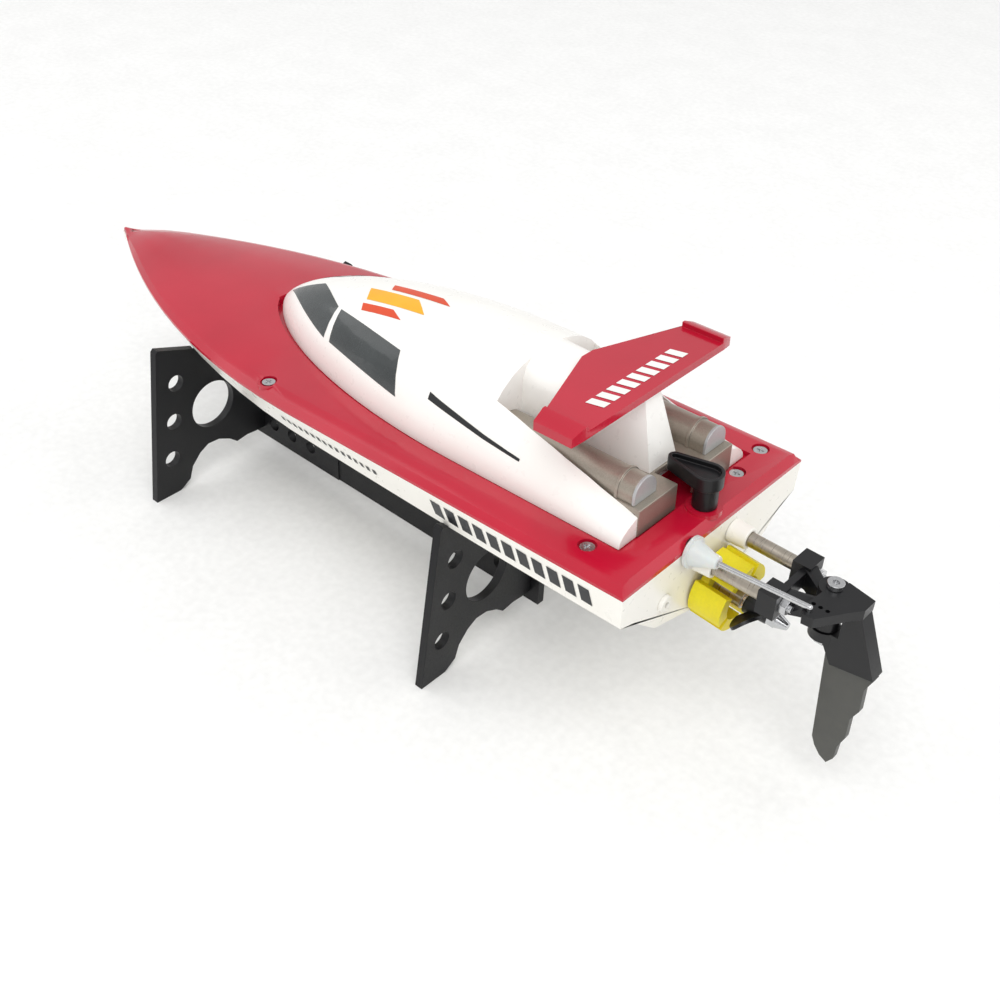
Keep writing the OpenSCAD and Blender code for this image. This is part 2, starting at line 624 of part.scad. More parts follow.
// ---- Lock knob ----
knob_x = 5.5;
knob_pin_d = 4;
boss_d = 11;
boss_h = 1;
knob_stem_d = 7.6;
knob_r = 4.9;
knob_nose = 13.6;
knob_t = 4.6;
knob_z = 12.7;
module knob_outline(g) hull() {
    circle(r = knob_r - g);
    translate([knob_nose - 2.2, 0]) circle(r = 2.2 - g);
}
module lock_knob() color("#161618") on_sheer() translate([knob_x, 0, 0]) difference() {
    union() {
        translate([0, 0, knob_z]) linear_extrude(knob_t) knob_outline(0);
        translate([0, 0, deck_rise + boss_h + 0.1]) cylinder(h = knob_z - deck_rise - boss_h, d = knob_stem_d);
        translate([0, 0, deck_rise - 4]) cylinder(h = 6, d = knob_pin_d);
        translate([0, 0, deck_rise - 5.6]) cylinder(h = 1.8, d = knob_pin_d + 1.2);
    }
    translate([0, 0, knob_z + knob_t - 1.6]) linear_extrude(3) knob_outline(1.1);
}

// ---- Canopy ----
trench_x1 = canopy_aft + trench_l;
dome_from = canopy_aft + 0.37 * canopy_l;
nose_x = canopy_aft + canopy_l;
base_z = recess_floor + rest_gap;
function dome_share(x) = clamp((x - dome_from) / (nose_x - dome_from), 0, 1);
function canopy_b(x) = max(0.9, canopy_w / 2 * pow(1 - pow(dome_share(x), 2), 0.68));
pod_rear_h = 9.5;
function canopy_top(x) = x < trench_x1
    ? pod_rear_h + (canopy_h - pod_rear_h) * (x - canopy_aft) / trench_l
    : max(1.2, canopy_h * pow(1 - pow(dome_share(x), 1.9), 0.55));
arch_power = 2.2;
arch_steps = 18;
function arch(b, h) = [for (i = [0 : arch_steps]) let (a = 180 * i / arch_steps)
    [b * sign(cos(a)) * pow(abs(cos(a)), 2 / arch_power), base_z + h * pow(max(0, sin(a)), 2 / arch_power)]];
canopy_stations = concat([for (i = [0 : 4]) canopy_aft + i * trench_l / 4], stations(trench_x1 + 3, nose_x - 0.4, 22));
module canopy_plan(grow) {
    front = [for (i = [0 : 24]) dome_from + (nose_x - dome_from) * (1 - pow(1 - i / 24, 1.7))];
    offset(delta = grow) union() {
        polygon(concat([for (x = front) [x, canopy_b(x)]], [for (i = [24 : -1 : 0]) [front[i], -canopy_b(front[i])]]));
        translate([canopy_aft, -canopy_w / 2]) square([dome_from - canopy_aft + 0.1, canopy_w]);
    }
}
function shell_ring(x, t) = at_x(x, t > 0
    ? concat([[canopy_b(x) - t, base_z - 2]], arch(canopy_b(x) - t, canopy_top(x) - t), [[t - canopy_b(x), base_z - 2]])
    : arch(canopy_b(x), canopy_top(x)));
spine_w = 23;
spine_rear_x = 21;
fin_top_w = 7;
tray_floor = 12.2;
tray_t = 2;
notch_w = 9.6;
notch_x = knob_x + knob_nose + 1.2;
wing_x0 = 25;
wing_z = base_z + canopy_h + wing_gap;
module canopy_shell() color("#f7f6f1") on_sheer() difference() {
    union() {
        difference() {
            loft([for (x = canopy_stations) shell_ring(x, 0)]);
            loft([for (x = concat([canopy_aft + canopy_t], [for (s = canopy_stations) if (s > canopy_aft + canopy_t && s < nose_x - 7) s]))
                shell_ring(x, canopy_t)]);
            translate([0, 0, tray_floor - tray_t]) slab(canopy_aft - 1, -trench_w / 2, -20, trench_x1, trench_w / 2, 60);
        }
        spine();
        trench_wall();
    }
    for (x = wing_screw_x) translate([x, 0, wing_z - 9]) cylinder(h = 12, d = screw_shank_d);
}
// Closes the shell along the sides and the front of the exhaust trench
trench_wall_t = 1.4;
module trench_wall() intersection() {
    loft([for (x = concat([for (i = [0 : 4]) canopy_aft + 0.2 + i * (trench_l - 0.2) / 4], [trench_x1 + trench_wall_t]))
        at_x(x, arch(canopy_b(x) - 0.4, canopy_top(x) - 0.4))]);
    difference() {
        slab(canopy_aft - 1, -trench_w / 2 - trench_wall_t, tray_floor - tray_t,
            trench_x1 + trench_wall_t, trench_w / 2 + trench_wall_t, canopy_h + 10);
        slab(canopy_aft - 2, -trench_w / 2, 0, trench_x1, trench_w / 2, canopy_h + 11);
    }
}
// The raised middle body and the fin that carries the wing, closed underneath by the tray
module spine() union() {
    hull() {
        translate([trench_x1 - 2, 0, tray_floor]) rotate([90, 0, 90]) linear_extrude(10) spine_section(spine_w, canopy_h - tray_floor + base_z - 0.1);
        translate([trench_x1 - 18, 0, tray_floor]) rotate([90, 0, 90]) linear_extrude(1) spine_section(spine_w - 1.5, canopy_h - tray_floor + base_z - 0.1);
    }
    hull() {
        translate([0, 0, tray_floor + 0.02]) linear_extrude(0.5) polygon([[spine_rear_x, -6.5], [spine_rear_x, 6.5], [trench_x1 - 14, 9], [trench_x1 - 14, -9]]);
        translate([0, 0, wing_z - 1]) linear_extrude(1) translate([wing_x0 + 2, -fin_top_w / 2]) square([23, fin_top_w]);
    }
}
module spine_section(w, h) {
    r = 8;
    translate([-w / 2, 0]) square([w, h - r]);
    translate([-w / 2 + r, h - r]) circle(r = r);
    translate([w / 2 - r, h - r]) circle(r = r);
    translate([-w / 2 + r, 0]) square([w - 2 * r, h]);
}
module exhaust_tray() color("#a59f95") on_sheer() difference() {
    union() {
        slab(canopy_aft - 0.5, -trench_w / 2, tray_floor - tray_t, trench_x1, trench_w / 2, tray_floor);
        slab(canopy_aft - 0.5, -trench_w / 2, base_z, canopy_aft + 1.2, trench_w / 2, tray_floor);
    }
    slab(canopy_aft - 2, -notch_w / 2, -5, notch_x, notch_w / 2, 40);
}
cap_t = 1;
pipe_x0 = canopy_aft + 2;
module pipe_section(w) union() {
    translate([-w / 2, 0]) square([w, 2.2]);
    translate([0, 2.2]) circle(d = w);
}
module exhaust_pipes() color("#a59f95") on_sheer() for (s = [-1, 1]) translate([0, s * pipe_y, tray_floor]) difference() {
    union() {
        rotate([90, 0, 90]) translate([0, 0, pipe_x0 + cap_t]) linear_extrude(trench_x1 - pipe_x0 - cap_t - 0.2) pipe_section(pipe_w);
        rotate([90, 0, 90]) translate([0, 0, pipe_x0 + 6]) linear_extrude(1.2) pipe_section(pipe_w + 1);
    }
    slab(-100, -20, -20, 200, 20, 0);
}
module exhaust_caps() color("#b9bbbb") on_sheer() for (s = [-1, 1]) translate([0, s * pipe_y, tray_floor]) difference() {
    rotate([90, 0, 90]) translate([0, 0, pipe_x0]) linear_extrude(cap_t) pipe_section(pipe_w + 0.4);
    slab(-100, -20, -20, 200, 20, 0);
}
// ---- Wing ----
wing_screw_x = [32, 44];
wing_tip_t = 4.2;
tip_w = 5;
wing_x1 = wing_x0 + wing_root_chord;
module wing_plan(half) polygon([
    [wing_x1, 2.5], [wing_x0 + wing_tip_chord, half], [wing_x0, half], [wing_x0, -half],
    [wing_x0 + wing_tip_chord, -half], [wing_x1, -2.5]
]);
module wing() color("#c8203a") on_sheer() difference() {
    union() {
        translate([0, 0, wing_z]) linear_extrude(wing_t) wing_plan(wing_span / 2 - tip_w);
        for (s = [-1, 1]) hull() {
            translate([wing_x0, s * (wing_span / 2 - tip_w) - 0.5, wing_z]) cube([wing_tip_chord, 1, wing_tip_t]);
            translate([wing_x0 + 1, s * (wing_span / 2 - 1) - 1, wing_z - 0.8]) cube([wing_tip_chord - 1.5, 2, wing_tip_t - 1.2]);
        }
    }
    for (x = wing_screw_x) translate([x, 0, 0]) cylinder(h = wing_z + wing_t - 0.8, d = screw_shank_d);
}
module wing_screws() color("#c8203a") on_sheer() for (x = wing_screw_x) translate([x, 0, wing_z - 8])
    cylinder(h = wing_t + 7, d = screw_shank_d);

// ---- Inner lid ----
lid_z = recess_floor + coaming_h;
plug_gap = 0.6;
module inner_lid() color("#e9e7e0") on_sheer() union() {
    translate([0, 0, lid_z + seal_t]) linear_extrude(lid_t) hatch_shape(coaming_t);
    translate([0, 0, lid_z - 3]) linear_extrude(3 + seal_t) difference() {
        hatch_shape(-plug_gap);
        hatch_shape(-plug_gap - 1.6);
    }
}
module lid_seal() color("#d8d8d8") on_sheer() translate([0, 0, lid_z + 0.1]) linear_extrude(seal_t - 0.1) difference() {
    hatch_shape(coaming_t);
    hatch_shape(-plug_gap);
}

place() stand_rail();
place() stand_plate_front();
place() stand_plate_rear();
place() hull_shell();
place() deck();
place() deck_screws();
place() outrigger_tubes();
place() tube_collars();
place() rudder_bracket();
place() tube_nuts();
place() pivot_screw();
place() stuffing_tube();
place() shaft_bushes();
place() shaft_guard();
place() water_outlet();
place() motor_can();
place() motor_mount();
place() inner_frame();
place() servo_case();
place() receiver_box();
place() battery_pack();
place() battery_strap();
place() pushrod_boot();
place() motor_rotor();
place() shaft_coupling();
place() propeller_shaft();
place() propeller();
place() propeller_nut();
place() rudder();
place() pushrod();
place() servo_horn();
place() lock_knob();
place() canopy_shell();
place() exhaust_tray();
place() exhaust_pipes();
place() exhaust_caps();
place() wing();
place() wing_screws();
place() inner_lid();
place() lid_seal();
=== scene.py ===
import json
import math

import bmesh
import bpy
from mathutils import Matrix, Vector
from mathutils.bvhtree import BVHTree


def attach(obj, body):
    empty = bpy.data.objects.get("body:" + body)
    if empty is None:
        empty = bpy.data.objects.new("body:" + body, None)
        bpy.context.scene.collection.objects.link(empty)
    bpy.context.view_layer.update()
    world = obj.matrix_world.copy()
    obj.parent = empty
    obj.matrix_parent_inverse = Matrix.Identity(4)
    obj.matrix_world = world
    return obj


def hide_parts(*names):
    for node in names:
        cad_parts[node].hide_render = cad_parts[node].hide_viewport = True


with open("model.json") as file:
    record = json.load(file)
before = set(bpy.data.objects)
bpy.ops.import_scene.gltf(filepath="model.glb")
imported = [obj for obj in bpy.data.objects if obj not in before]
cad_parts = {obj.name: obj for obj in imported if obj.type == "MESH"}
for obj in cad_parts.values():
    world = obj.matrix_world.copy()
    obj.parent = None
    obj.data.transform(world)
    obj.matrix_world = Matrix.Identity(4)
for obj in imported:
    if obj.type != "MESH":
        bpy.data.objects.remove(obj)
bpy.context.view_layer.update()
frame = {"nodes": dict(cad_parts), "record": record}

mm = 0.001
record = frame["record"]
bodyOf = {node: body for body, nodes in record["behaviour"]["bodies"].items() for node in nodes}
slotOf = {piece["node"]: piece["material_slot"] for piece in record["subparts"]}

# Camera, behind the port quarter and above the deck
camera = {
    "place": (-262.57, 276.59, 320.35), "azimuth": 50.12, "elevation": 38.074,
    "roll": 3.108, "lens": 49.13, "sensor": 36.0,
}


def placeCamera(c):
    az, el, roll = (math.radians(c[k]) for k in ("azimuth", "elevation", "roll"))
    back = Vector((-math.cos(az) * math.cos(el), math.sin(az) * math.cos(el), math.sin(el)))
    right = (-back).cross(Vector((0, 0, 1))).normalized()
    up = right.cross(-back)
    side = right * math.cos(roll) + up * math.sin(roll)
    top = up * math.cos(roll) - right * math.sin(roll)
    data = bpy.data.cameras.new("camera")
    data.lens, data.sensor_width = c["lens"], c["sensor"]
    data.clip_start, data.clip_end = 0.01, 50
    cam = bpy.data.objects.new("camera", data)
    bpy.context.collection.objects.link(cam)
    turn = Matrix((side, top, back)).transposed().to_4x4()
    cam.matrix_world = Matrix.Translation(Vector(c["place"]) * mm) @ turn
    bpy.context.scene.camera = cam
    return cam


placeCamera(camera)
print("camera placed")


def linearColour(code):
    parts = [int(code[i:i + 2], 16) / 255 for i in (1, 3, 5)]
    return [v / 12.92 if v <= 0.04045 else ((v + 0.055) / 1.055) ** 2.4 for v in parts] + [1.0]


def add(tree, kind, sockets=None, **settings):
    node = tree.nodes.new(kind)
    for key, value in settings.items():
        setattr(node, key, value)
    for key, value in (sockets or {}).items():
        if isinstance(value, bpy.types.NodeSocket):
            tree.links.new(value, node.inputs[key])
        else:
            node.inputs[key].default_value = value
    return node


bumpStrength = 0.4


def makeFinish(name, f):
    mat = bpy.data.materials.new(name)
    mat.use_nodes = True
    tree = mat.node_tree
    shader = tree.nodes["Principled BSDF"]
    coords = add(tree, "ShaderNodeTexCoord")
    lay = add(tree, "ShaderNodeMapping", {
        "Vector": coords.outputs["Object"], "Scale": f.get("stretch", (1, 1, 1))})
    # Slow drift of colour and gloss across the piece
    drift = add(tree, "ShaderNodeTexNoise", {
        "Vector": coords.outputs["Object"], "Scale": 1000 / f.get("driftMm", 25), "Detail": 3.0})
    grain = add(tree, "ShaderNodeTexNoise", {
        "Vector": lay.outputs["Vector"], "Scale": 1000 / f["grainMm"], "Detail": f.get("grainDetail", 3.0)})
    blend = add(tree, "ShaderNodeMapRange", {
        "Value": drift.outputs["Fac"], "From Min": 0.35, "From Max": 0.65})
    colour = add(tree, "ShaderNodeMix", {
        0: blend.outputs[0], 6: linearColour(f["colour"]), 7: linearColour(f["colourTwo"])}, data_type="RGBA")
    fleck = add(tree, "ShaderNodeMapRange", {
        "Value": grain.outputs["Fac"], "From Min": 0.3, "From Max": 0.7,
        "To Min": 1 - f.get("fleck", 0.03), "To Max": 1 + f.get("fleck", 0.03)})
    tinted = add(tree, "ShaderNodeHueSaturation", {"Color": colour.outputs[2], "Value": fleck.outputs[0]})
    gloss = add(tree, "ShaderNodeMapRange", {
        "Value": grain.outputs["Fac"], "From Min": 0.3, "From Max": 0.7,
        "To Min": f["roughness"][0], "To Max": f["roughness"][1]})
    bump = add(tree, "ShaderNodeBump", {
        "Height": grain.outputs["Fac"], "Distance": f["bumpMm"] * mm, "Strength": bumpStrength,
        "Filter Width": 1.0})
    tree.links.new(tinted.outputs[0], shader.inputs["Base Color"])
    tree.links.new(gloss.outputs[0], shader.inputs["Roughness"])
    tree.links.new(bump.outputs[0], shader.inputs["Normal"])
    for key, value in f.get("sockets", {}).items():
        shader.inputs[key].default_value = value
    return mat


finishes = {
    # Moulded ABS, black: satin with the fine spark texture of its tool
    "black_stand": {
        "called": "abs_black_spark_textured", "colour": "#0D0D0F", "colourTwo": "#111114",
        "roughness": (0.38, 0.5), "grainMm": 0.6, "bumpMm": 0.02,
        "sockets": {"IOR": 1.5, "Specular IOR Level": 0.35},
    },
    # Moulded ABS, off-white: glossy, with the faint ripple of a thin wall
    "white_hull": {
        "called": "abs_off_white_moulded", "colour": "#F1EFE8", "colourTwo": "#EFECE4",
        "roughness": (0.27, 0.3), "grainMm": 3, "bumpMm": 0.0003, "fleck": 0,
        "sockets": {"IOR": 1.53, "Coat Weight": 0.15},
    },
    # Sprayed lacquer over ABS, crimson: deep gloss with orange peel
    "red_deck": {
        "called": "lacquer_crimson_sprayed", "colour": "#BC1230", "colourTwo": "#B10E2B",
        "roughness": (0.19, 0.23), "grainMm": 2.5, "bumpMm": 0.0005, "fleck": 0.003, "driftMm": 40,
        "sockets": {"IOR": 1.45, "Coat Weight": 0.3, "Coat Roughness": 0.06},
    },
    # Moulded ABS, white: gloss, drifting to a slightly warmer white in slow random patches
    "white_canopy": {
        "called": "abs_white_moulded", "colour": "#F6F5F1", "colourTwo": "#F4F2ED",
        "roughness": (0.27, 0.3), "grainMm": 3, "bumpMm": 0.0003, "fleck": 0,
        "sockets": {"IOR": 1.53, "Coat Weight": 0.15},
    },
    # Satin paint on ABS, warm silver-grey: a fine metallic fleck
    "grey_exhaust": {
        "called": "paint_warm_silver_satin", "colour": "#A79F93", "colourTwo": "#988F83",
        "roughness": (0.3, 0.42), "grainMm": 0.4, "bumpMm": 0.01, "fleck": 0.1,
        "sockets": {"Metallic": 0.55},
    },
    # Satin paint on ABS, cool silver
    "grey_cap": {
        "called": "paint_cool_silver_satin", "colour": "#BFC1C2", "colourTwo": "#B2B4B5",
        "roughness": (0.3, 0.42), "grainMm": 0.4, "bumpMm": 0.01, "fleck": 0.08,
        "sockets": {"Metallic": 0.5},
    },
    # Glass-filled nylon, black: grainy, with a dull sheen
    "black_plastic": {
        "called": "nylon_black_glass_filled", "colour": "#0F0F11", "colourTwo": "#151517",
        "roughness": (0.28, 0.42), "grainMm": 0.7, "bumpMm": 0.02, "fleck": 0.15,
        "sockets": {"IOR": 1.5, "Specular IOR Level": 0.4},
    },
    # Stainless tube, brushed round its length: lines drawn coarse enough to show
    "brushed_tube": {
        "called": "stainless_steel_brushed", "colour": "#BEB6AA", "colourTwo": "#A79F93",
        "roughness": (0.24, 0.4), "grainMm": 0.5, "stretch": (1, 0.06, 0.06), "bumpMm": 0.01, "fleck": 0.1,
        "sockets": {"Metallic": 1.0},
    },
    # Nickel-plated steel, polished: bright, with small handling marks
    "bright_steel": {
        "called": "steel_nickel_plated", "colour": "#CFCFD0", "colourTwo": "#BDBEC0",
        "roughness": (0.14, 0.28), "grainMm": 0.6, "bumpMm": 0.008, "fleck": 0.06,
        "sockets": {"Metallic": 1.0},
    },
    # Turned brass: fine rings and a warm tint
    "brass": {
        "called": "brass_turned", "colour": "#C79A4B", "colourTwo": "#B48638",
        "roughness": (0.2, 0.34), "grainMm": 0.5, "stretch": (1, 0.1, 0.1), "bumpMm": 0.01, "fleck": 0.08,
        "sockets": {"Metallic": 1.0},
    },
    # Moulded soft rubber, yellow: waxy, scatters light under the skin
    "yellow_rubber": {
        "called": "rubber_yellow_moulded", "colour": "#E9D70F", "colourTwo": "#DCC806",
        "roughness": (0.42, 0.58), "grainMm": 0.8, "bumpMm": 0.03, "fleck": 0.04,
        "sockets": {"IOR": 1.5, "Subsurface Weight": 0.12},
    },
    # Silicone, translucent: milky and soft
    "clear_silicone": {
        "called": "silicone_milky_moulded", "colour": "#F2F0EB", "colourTwo": "#EAE7E0",
        "roughness": (0.34, 0.46), "grainMm": 1.2, "bumpMm": 0.02, "fleck": 0.02,
        "sockets": {"IOR": 1.41, "Transmission Weight": 0.15, "Subsurface Weight": 0.2},
    },
    # Moulded ABS, plain white
    "white_plastic": {
        "called": "abs_plain_white_moulded", "colour": "#EFEDE6", "colourTwo": "#E6E3DB",
        "roughness": (0.3, 0.42), "grainMm": 1.2, "bumpMm": 0.02, "fleck": 0.02,
        "sockets": {"IOR": 1.53},
    },
    # Rolled steel can, zinc-plated: faint rolling lines
    "motor_steel": {
        "called": "steel_zinc_plated_rolled", "colour": "#A9ABAE", "colourTwo": "#96989C",
        "roughness": (0.28, 0.4), "grainMm": 0.6, "stretch": (0.1, 1, 1), "bumpMm": 0.01, "fleck": 0.08,
        "sockets": {"Metallic": 1.0},
    },
    # Glass-filled nylon, bare: olive-grey, dull and scuffed along its length
    "rudder_blade": {
        "called": "nylon_olive_glass_filled", "colour": "#4A4A46", "colourTwo": "#3F3F3B",
        "roughness": (0.45, 0.62), "grainMm": 0.9, "stretch": (0.3, 1, 0.3), "bumpMm": 0.03, "fleck": 0.12,
        "sockets": {"IOR": 1.53},
    },
    # Moulded case and heat-shrunk sleeve, dark blue
    "blue_case": {
        "called": "sleeve_blue_heat_shrunk", "colour": "#23407A", "colourTwo": "#1B3468",
        "roughness": (0.26, 0.38), "grainMm": 1.5, "bumpMm": 0.03, "fleck": 0.05,
        "sockets": {"IOR": 1.5},
    },
    # Self-adhesive vinyl, charcoal: the cabin windows
    "window_vinyl": {
        "called": "vinyl_charcoal_gloss", "colour": "#33393A", "colourTwo": "#2A2F30",
        "roughness": (0.2, 0.3), "grainMm": 2, "bumpMm": 0.008, "fleck": 0.03,
        "sockets": {"IOR": 1.5, "Coat Weight": 0.4},
    },
    # Printed vinyl, black, white, amber and orange: the stripes
    "black_vinyl": {
        "called": "vinyl_black_printed", "colour": "#17181A", "colourTwo": "#202124",
        "roughness": (0.28, 0.38), "grainMm": 2, "bumpMm": 0.006,
        "sockets": {"IOR": 1.5},
    },
    "white_vinyl": {
        "called": "vinyl_white_printed", "colour": "#EFEFEC", "colourTwo": "#E7E7E3",
        "roughness": (0.28, 0.38), "grainMm": 2, "bumpMm": 0.006, "fleck": 0.01,
        "sockets": {"IOR": 1.5},
    },
    "amber_vinyl": {
        "called": "vinyl_amber_printed", "colour": "#F2B51C", "colourTwo": "#EDA40F",
        "roughness": (0.28, 0.38), "grainMm": 2, "bumpMm": 0.006, "fleck": 0.02,
        "sockets": {"IOR": 1.5},
    },
    "orange_vinyl": {
        "called": "vinyl_orange_printed", "colour": "#DD4A16", "colourTwo": "#CE3C10",
        "roughness": (0.28, 0.38), "grainMm": 2, "bumpMm": 0.006, "fleck": 0.02,
        "sockets": {"IOR": 1.5},
    },
}
materials = {name: makeFinish(f["called"], f) for name, f in finishes.items()}
for name, node in frame["nodes"].items():
    node.data.materials.clear()
    node.data.materials.append(materials[slotOf[name]])
print("materials made")


def settle(name, bm, body, slotName, finish=None, angle=32, nodes=()):
    for face in bm.faces:
        face.smooth = True
    for edge in bm.edges:
        edge.smooth = len(edge.link_faces) == 2 and edge.calc_face_angle(0) < math.radians(angle)
    mesh = bpy.data.meshes.new(name)
    bm.to_mesh(mesh)
    bm.free()
    mesh.materials.append(materials[finish or slotName])
    piece = bpy.data.objects.new(name, mesh)
    bpy.context.collection.objects.link(piece)
    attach(piece, body)
    if nodes:
        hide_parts(*nodes)
    return piece


def mergedMesh(node):
    bm = bmesh.new()
    bm.from_mesh(frame["nodes"][node].data)
    bmesh.ops.remove_doubles(bm, verts=bm.verts, dist=0.002 * mm)
    return bm


# Each CAD solid gets softened edges: width of the rounding in mm, and the angle that counts as an edge.
# A width of 0 leaves the edges sharp.
softEdges = {
    "stand_rail": (0.4, 40),
    "stand_plate_front": (0.45, 40), "stand_plate_rear": (0.45, 40),
    "hull_shell": (0, 34), "deck": (0.3, 24), "tube_collars": (0.5, 40), "rudder_bracket": (0.35, 35),
    "tube_nuts": (0.15, 35), "pivot_screw": (0.15, 35), "shaft_guard": (0.5, 40), "water_outlet": (0.2, 40),
    "outrigger_tubes": (0.12, 40), "pushrod_boot": (0.3, 40), "stuffing_tube": (0.12, 40),
    "deck_screws": (0.1, 40), "propeller_nut": (0.15, 30),
    "rudder": (0.35, 35), "servo_horn": (0.2, 40), "lock_knob": (0.5, 40),
    "canopy_shell": (0.35, 34), "exhaust_tray": (0.35, 40), "exhaust_pipes": (0.25, 40),
    "exhaust_caps": (0.2, 40), "wing": (0.8, 25), "wing_screws": (0.1, 40), "inner_lid": (0.4, 40),
    "motor_can": (0.6, 40), "servo_case": (0.5, 40), "receiver_box": (0.6, 40), "battery_pack": (1.6, 40),
    "battery_strap": (0.3, 40), "motor_mount": (0.2, 40),
}
bladeTopZ = 58
bladeHalfThick = 1.3
for node, (width, angle) in softEdges.items():
    bm = mergedMesh(node)
    bmesh.ops.dissolve_limit(bm, angle_limit=math.radians(0.4), verts=bm.verts, edges=bm.edges)
    piece = settle(node + "_finished", bm, bodyOf[node], slotOf[node], angle=angle, nodes=[node])
    if width:
        rounding = piece.modifiers.new("edges", "BEVEL")
        rounding.width = width * mm
        rounding.segments = 2
        rounding.limit_method = "ANGLE"
        rounding.angle_limit = math.radians(angle)
        rounding.use_clamp_overlap = True
        rounding.harden_normals = True
    if node == "rudder":  # the blade is bare, duller plastic below the head
        piece.data.materials.append(materials["rudder_blade"])
        for face in piece.data.polygons:
            if face.center.z < bladeTopZ * mm and abs(face.center.y) < bladeHalfThick * mm:
                face.material_index = 1
print("edges softened on", len(softEdges), "pieces")

# Sheets of vinyl laid on a curved surface: an outline of (x, y, z) in mm, pushed on to the node's skin


reach = 0.12


def layOn(name, node, outline, finish, away, lift=0.12, stepMm=2.0):
    skin = mergedMesh(node)
    tree = BVHTree.FromBMesh(skin)
    bm = bmesh.new()
    face = bm.faces.new([bm.verts.new(Vector(p) * mm) for p in outline])
    for axis in (0, 1, 2):
        values = [p[axis] for p in outline]
        at = min(values) + stepMm
        while at < max(values) and max(values) - min(values) > stepMm:
            plane = Vector((0, 0, 0))
            plane[axis] = at * mm
            normal = Vector((0, 0, 0))
            normal[axis] = 1
            bmesh.ops.bisect_plane(bm, geom=bm.verts[:] + bm.edges[:] + bm.faces[:], dist=1e-7,
                                   plane_co=plane, plane_no=normal)
            at += stepMm
    for v in bm.verts:
        out = away(v.co)
        hit, _, _, _ = tree.ray_cast(v.co + out * reach / 2, -out, reach)
        if hit is not None:
            v.co = hit + out * lift * mm
    bmesh.ops.recalc_face_normals(bm, faces=bm.faces)
    skin.free()
    average = sum((f.normal * f.calc_area() for f in bm.faces), Vector())
    if average.dot(away(Vector(outline[0]) * mm)) < 0:
        bmesh.ops.reverse_faces(bm, faces=bm.faces)
    piece = settle(name, bm, bodyOf[node], slotOf[node], finish=finish, angle=60)
    return piece


def fromSpine(point, spineZ=0.070):
    return Vector((0, point.y, point.z - spineZ)).normalized()


def straightUp(point):
    return Vector((0, 0, 1))


windows = {
    "front": [(65.0, 5, 83), (48.0, 4, 93), (31.0, 15, 94.5), (30.8, 24, 85)],
    "side": [(28.8, 15, 93.4), (-5.8, 22, 95.5), (-10.7, 29, 83.3), (27.2, 25, 85.4)],
}
for place, corners in windows.items():
    for side, sign in (("port", 1), ("starboard", -1)):
        outline = [(x, y * sign, z) for x, y, z in corners]
        layOn(f"window_{place}_{side}", "canopy_shell", outline, "window_vinyl", fromSpine)
print("windows laid")

# Plain stripes: tapered bars on the cabin roof, short bars on the hull's side and on the wing
roofZ = 100
roofBars = [
    ("roof_stripe_amber", "amber_vinyl", [(26, 3), (22, 9), (-4, 9), (4, 3)]),
    ("roof_stripe_orange", "orange_vinyl", [(20, -2), (18, 1.4), (-8, 1.4), (-2, -2)]),
    ("roof_stripe_port", "orange_vinyl", [(22, 10.6), (20, 13.4), (2, 13.4), (8, 10.6)]),
]
for name, finish, corners in roofBars:
    layOn(name, "canopy_shell", [(x, y, roofZ) for x, y in corners], finish, straightUp)


def sideways(point):
    return Vector((0, 1 if point.y > 0 else -1, 0))


# Slanted bars along the white band under the deck edge: bold ones aft, fine ones ahead
bandBars = {
    "bold": {"from": -104.0, "count": 11, "length": 4.0, "pitch": 5.7,
             "low": -7.8, "high": -2.6, "slant": 1.6},
    "fine": {"from": -18.0, "count": 16, "length": 1.5, "pitch": 2.9,
             "low": -5.6, "high": -4.0, "slant": 0.5},
}
deckEdge = {"transomX": -113.95, "height": 73.8, "fall": 11 / 285}
besideHull = 46
for kind, b in bandBars.items():
    for side, sign in (("port", 1), ("starboard", -1)):
        y = besideHull * sign
        for i in range(b["count"]):
            x = b["from"] + i * b["pitch"]
            edge = deckEdge["height"] - (x - deckEdge["transomX"]) * deckEdge["fall"]
            outline = [(x, y, edge + b["low"]), (x + b["length"], y, edge + b["low"]),
                       (x + b["length"] + b["slant"], y, edge + b["high"]),
                       (x + b["slant"], y, edge + b["high"])]
            layOn(f"band_bar_{kind}_{side}_{i}", "hull_shell", outline, "black_vinyl", sideways, stepMm=20)

# White bars along the wing
wingBars = {"count": 9, "pitch": 4.6, "width": 3.0, "aft": -83.5, "ahead": -78.0, "slant": 1.4, "z": 125}
for i in range(wingBars["count"]):
    y = (i - (wingBars["count"] - 1) / 2) * wingBars["pitch"]
    w = wingBars["width"] / 2
    z = wingBars["z"]
    outline = [(wingBars["aft"], y - w, z), (wingBars["ahead"], y - w + wingBars["slant"], z),
               (wingBars["ahead"], y + w + wingBars["slant"], z), (wingBars["aft"], y + w, z)]
    layOn(f"wing_bar_{i}", "wing", outline, "white_vinyl", straightUp, stepMm=20)

# One fine tapered line down each flank of the cabin
flankLine = {"y": 31, "corners": [(-24, 90.5), (-62, 86.0), (-62, 85.2), (-24, 88.3)]}
for side, sign in (("port", 1), ("starboard", -1)):
    outline = [(x, flankLine["y"] * sign, z) for x, z in flankLine["corners"]]
    layOn(f"flank_line_{side}", "canopy_shell", outline, "black_vinyl", sideways)
print("stripes laid")

# Propeller: two twisted blades on a hub
propeller = {
    "aft": -22.0, "hubLength": 8.0, "hubRadius": (2.9, 3.5), "tip": 14.0, "root": 2.2, "chord": 9.5,
    "pitchRoot": 62.0, "pitchTip": 34.0, "thick": 1.0, "turn": 100.0, "shaftZ": 54.8, "tiltDeg": -4,
}
shaftLine = (Matrix.Translation(Vector((deckEdge["transomX"], 0, propeller["shaftZ"])) * mm)
             @ Matrix.Rotation(math.radians(propeller["tiltDeg"]), 4, "Y"))


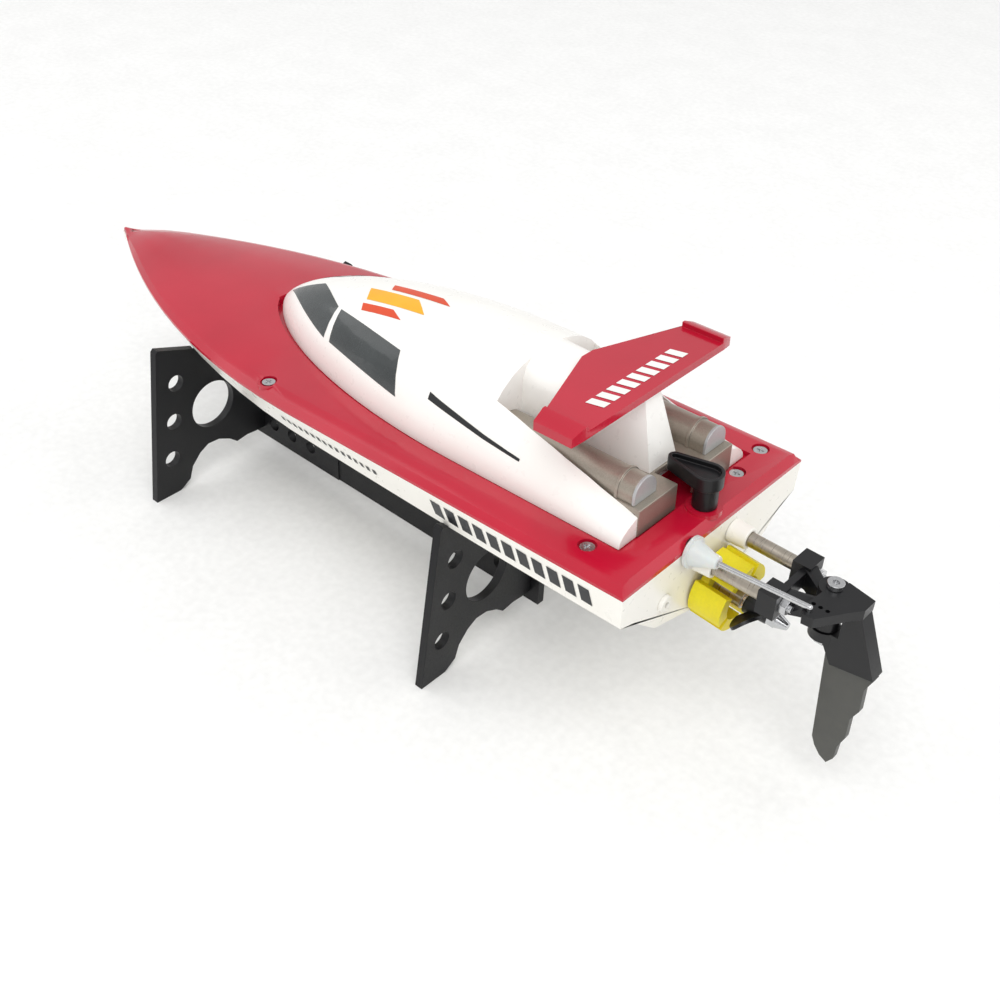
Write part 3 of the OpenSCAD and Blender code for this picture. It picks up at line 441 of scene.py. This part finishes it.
def bladeMesh(p):
    bm = bmesh.new()
    bmesh.ops.create_grid(bm, x_segments=14, y_segments=12, size=0.5)
    for v in bm.verts:
        across, along = v.co.x * 2, v.co.y + 0.5
        radius = p["root"] + (p["tip"] - p["root"]) * along
        # The chord is widest near mid span and narrows at the root
        roundness = math.sqrt(max(0.03, 1 - (2 * along - 0.95) ** 2 * 0.9))
        width = p["chord"] / 2 * roundness * (0.55 + 0.45 * min(1, along * 3))
        pitch = math.radians(p["pitchRoot"] + (p["pitchTip"] - p["pitchRoot"]) * along)
        chordPoint = across * width
        angle = chordPoint * math.cos(pitch) / max(radius, 4.0)
        ring = (radius * math.sin(angle), radius * math.cos(angle))
        v.co = Vector((chordPoint * math.sin(pitch), ring[0], ring[1])) * mm
    bmesh.ops.recalc_face_normals(bm, faces=bm.faces)
    bmesh.ops.solidify(bm, geom=bm.faces[:], thickness=p["thick"] * mm)
    bmesh.ops.recalc_face_normals(bm, faces=bm.faces)
    return bm


def propellerMesh(p):
    whole = bmesh.new()
    middle = p["aft"] + p["hubLength"] / 2
    atMiddle = Matrix.Translation((middle * mm, 0, 0))
    bmesh.ops.create_cone(
        whole, cap_ends=True, segments=48, radius1=p["hubRadius"][0] * mm, radius2=p["hubRadius"][1] * mm,
        depth=p["hubLength"] * mm, matrix=atMiddle @ Matrix.Rotation(math.pi / 2, 4, "Y"))
    rims = [e for e in whole.edges if len(e.link_faces) == 2 and e.calc_face_angle() > 1]
    bmesh.ops.bevel(whole, geom=rims, offset=0.5 * mm, segments=3, profile=0.5, affect="EDGES", material=-1)
    for i in range(2):
        blade = bladeMesh(p)
        turn = atMiddle @ Matrix.Rotation(math.radians(p["turn"] + 180 * i), 4, "X")
        bmesh.ops.transform(blade, matrix=turn, verts=blade.verts)
        part = bpy.data.meshes.new("blade")
        blade.to_mesh(part)
        blade.free()
        whole.from_mesh(part)
        bpy.data.meshes.remove(part)
    bmesh.ops.transform(whole, matrix=shaftLine, verts=whole.verts)
    return whole


settle("propeller_bladed", propellerMesh(propeller), "driveline", "black_plastic", angle=45,
       nodes=["propeller"])
print("propeller made")

# Floor and light
floor = {"size": 6.0, "colour": "#F4F4F3", "colourTwo": "#F1F1F0"}
bm = bmesh.new()
bmesh.ops.create_grid(bm, x_segments=2, y_segments=2, size=floor["size"])
mesh = bpy.data.meshes.new("floor")
bm.to_mesh(mesh)
bm.free()
ground = bpy.data.objects.new("floor", mesh)
bpy.context.collection.objects.link(ground)
# Matt paper: white, with no gloss and almost no texture
mesh.materials.append(makeFinish("floor_paper", {
    "colour": floor["colour"], "colourTwo": floor["colourTwo"],
    "roughness": (0.8, 0.85), "grainMm": 3, "bumpMm": 0.001}))

lamps = {
    "key": {"place": (-0.55, 0.75, 1.35), "size": 1.3, "power": 13},
    "fill": {"place": (-0.9, -0.9, 0.9), "size": 1.4, "power": 4},
    "front": {"place": (1.1, 0.5, 1.0), "size": 1.2, "power": 4},
}
for name, s in lamps.items():
    data = bpy.data.lights.new(name, "AREA")
    data.shape, data.size, data.energy = "SQUARE", s["size"], s["power"]
    lamp = bpy.data.objects.new(name, data)
    bpy.context.collection.objects.link(lamp)
    lamp.location = s["place"]
    lamp.rotation_euler = (Vector((0, 0, 0.05)) - lamp.location).to_track_quat("-Z", "Y").to_euler()
world = bpy.data.worlds.new("studio")
bpy.context.scene.world = world
world.use_nodes = True
worldStrength = 0.72
backdrop = world.node_tree.nodes["Background"]
backdrop.inputs["Color"].default_value = (1, 1, 1, 1)
backdrop.inputs["Strength"].default_value = worldStrength
bpy.context.scene.view_settings.view_transform = "Standard"
print("floor and light set")
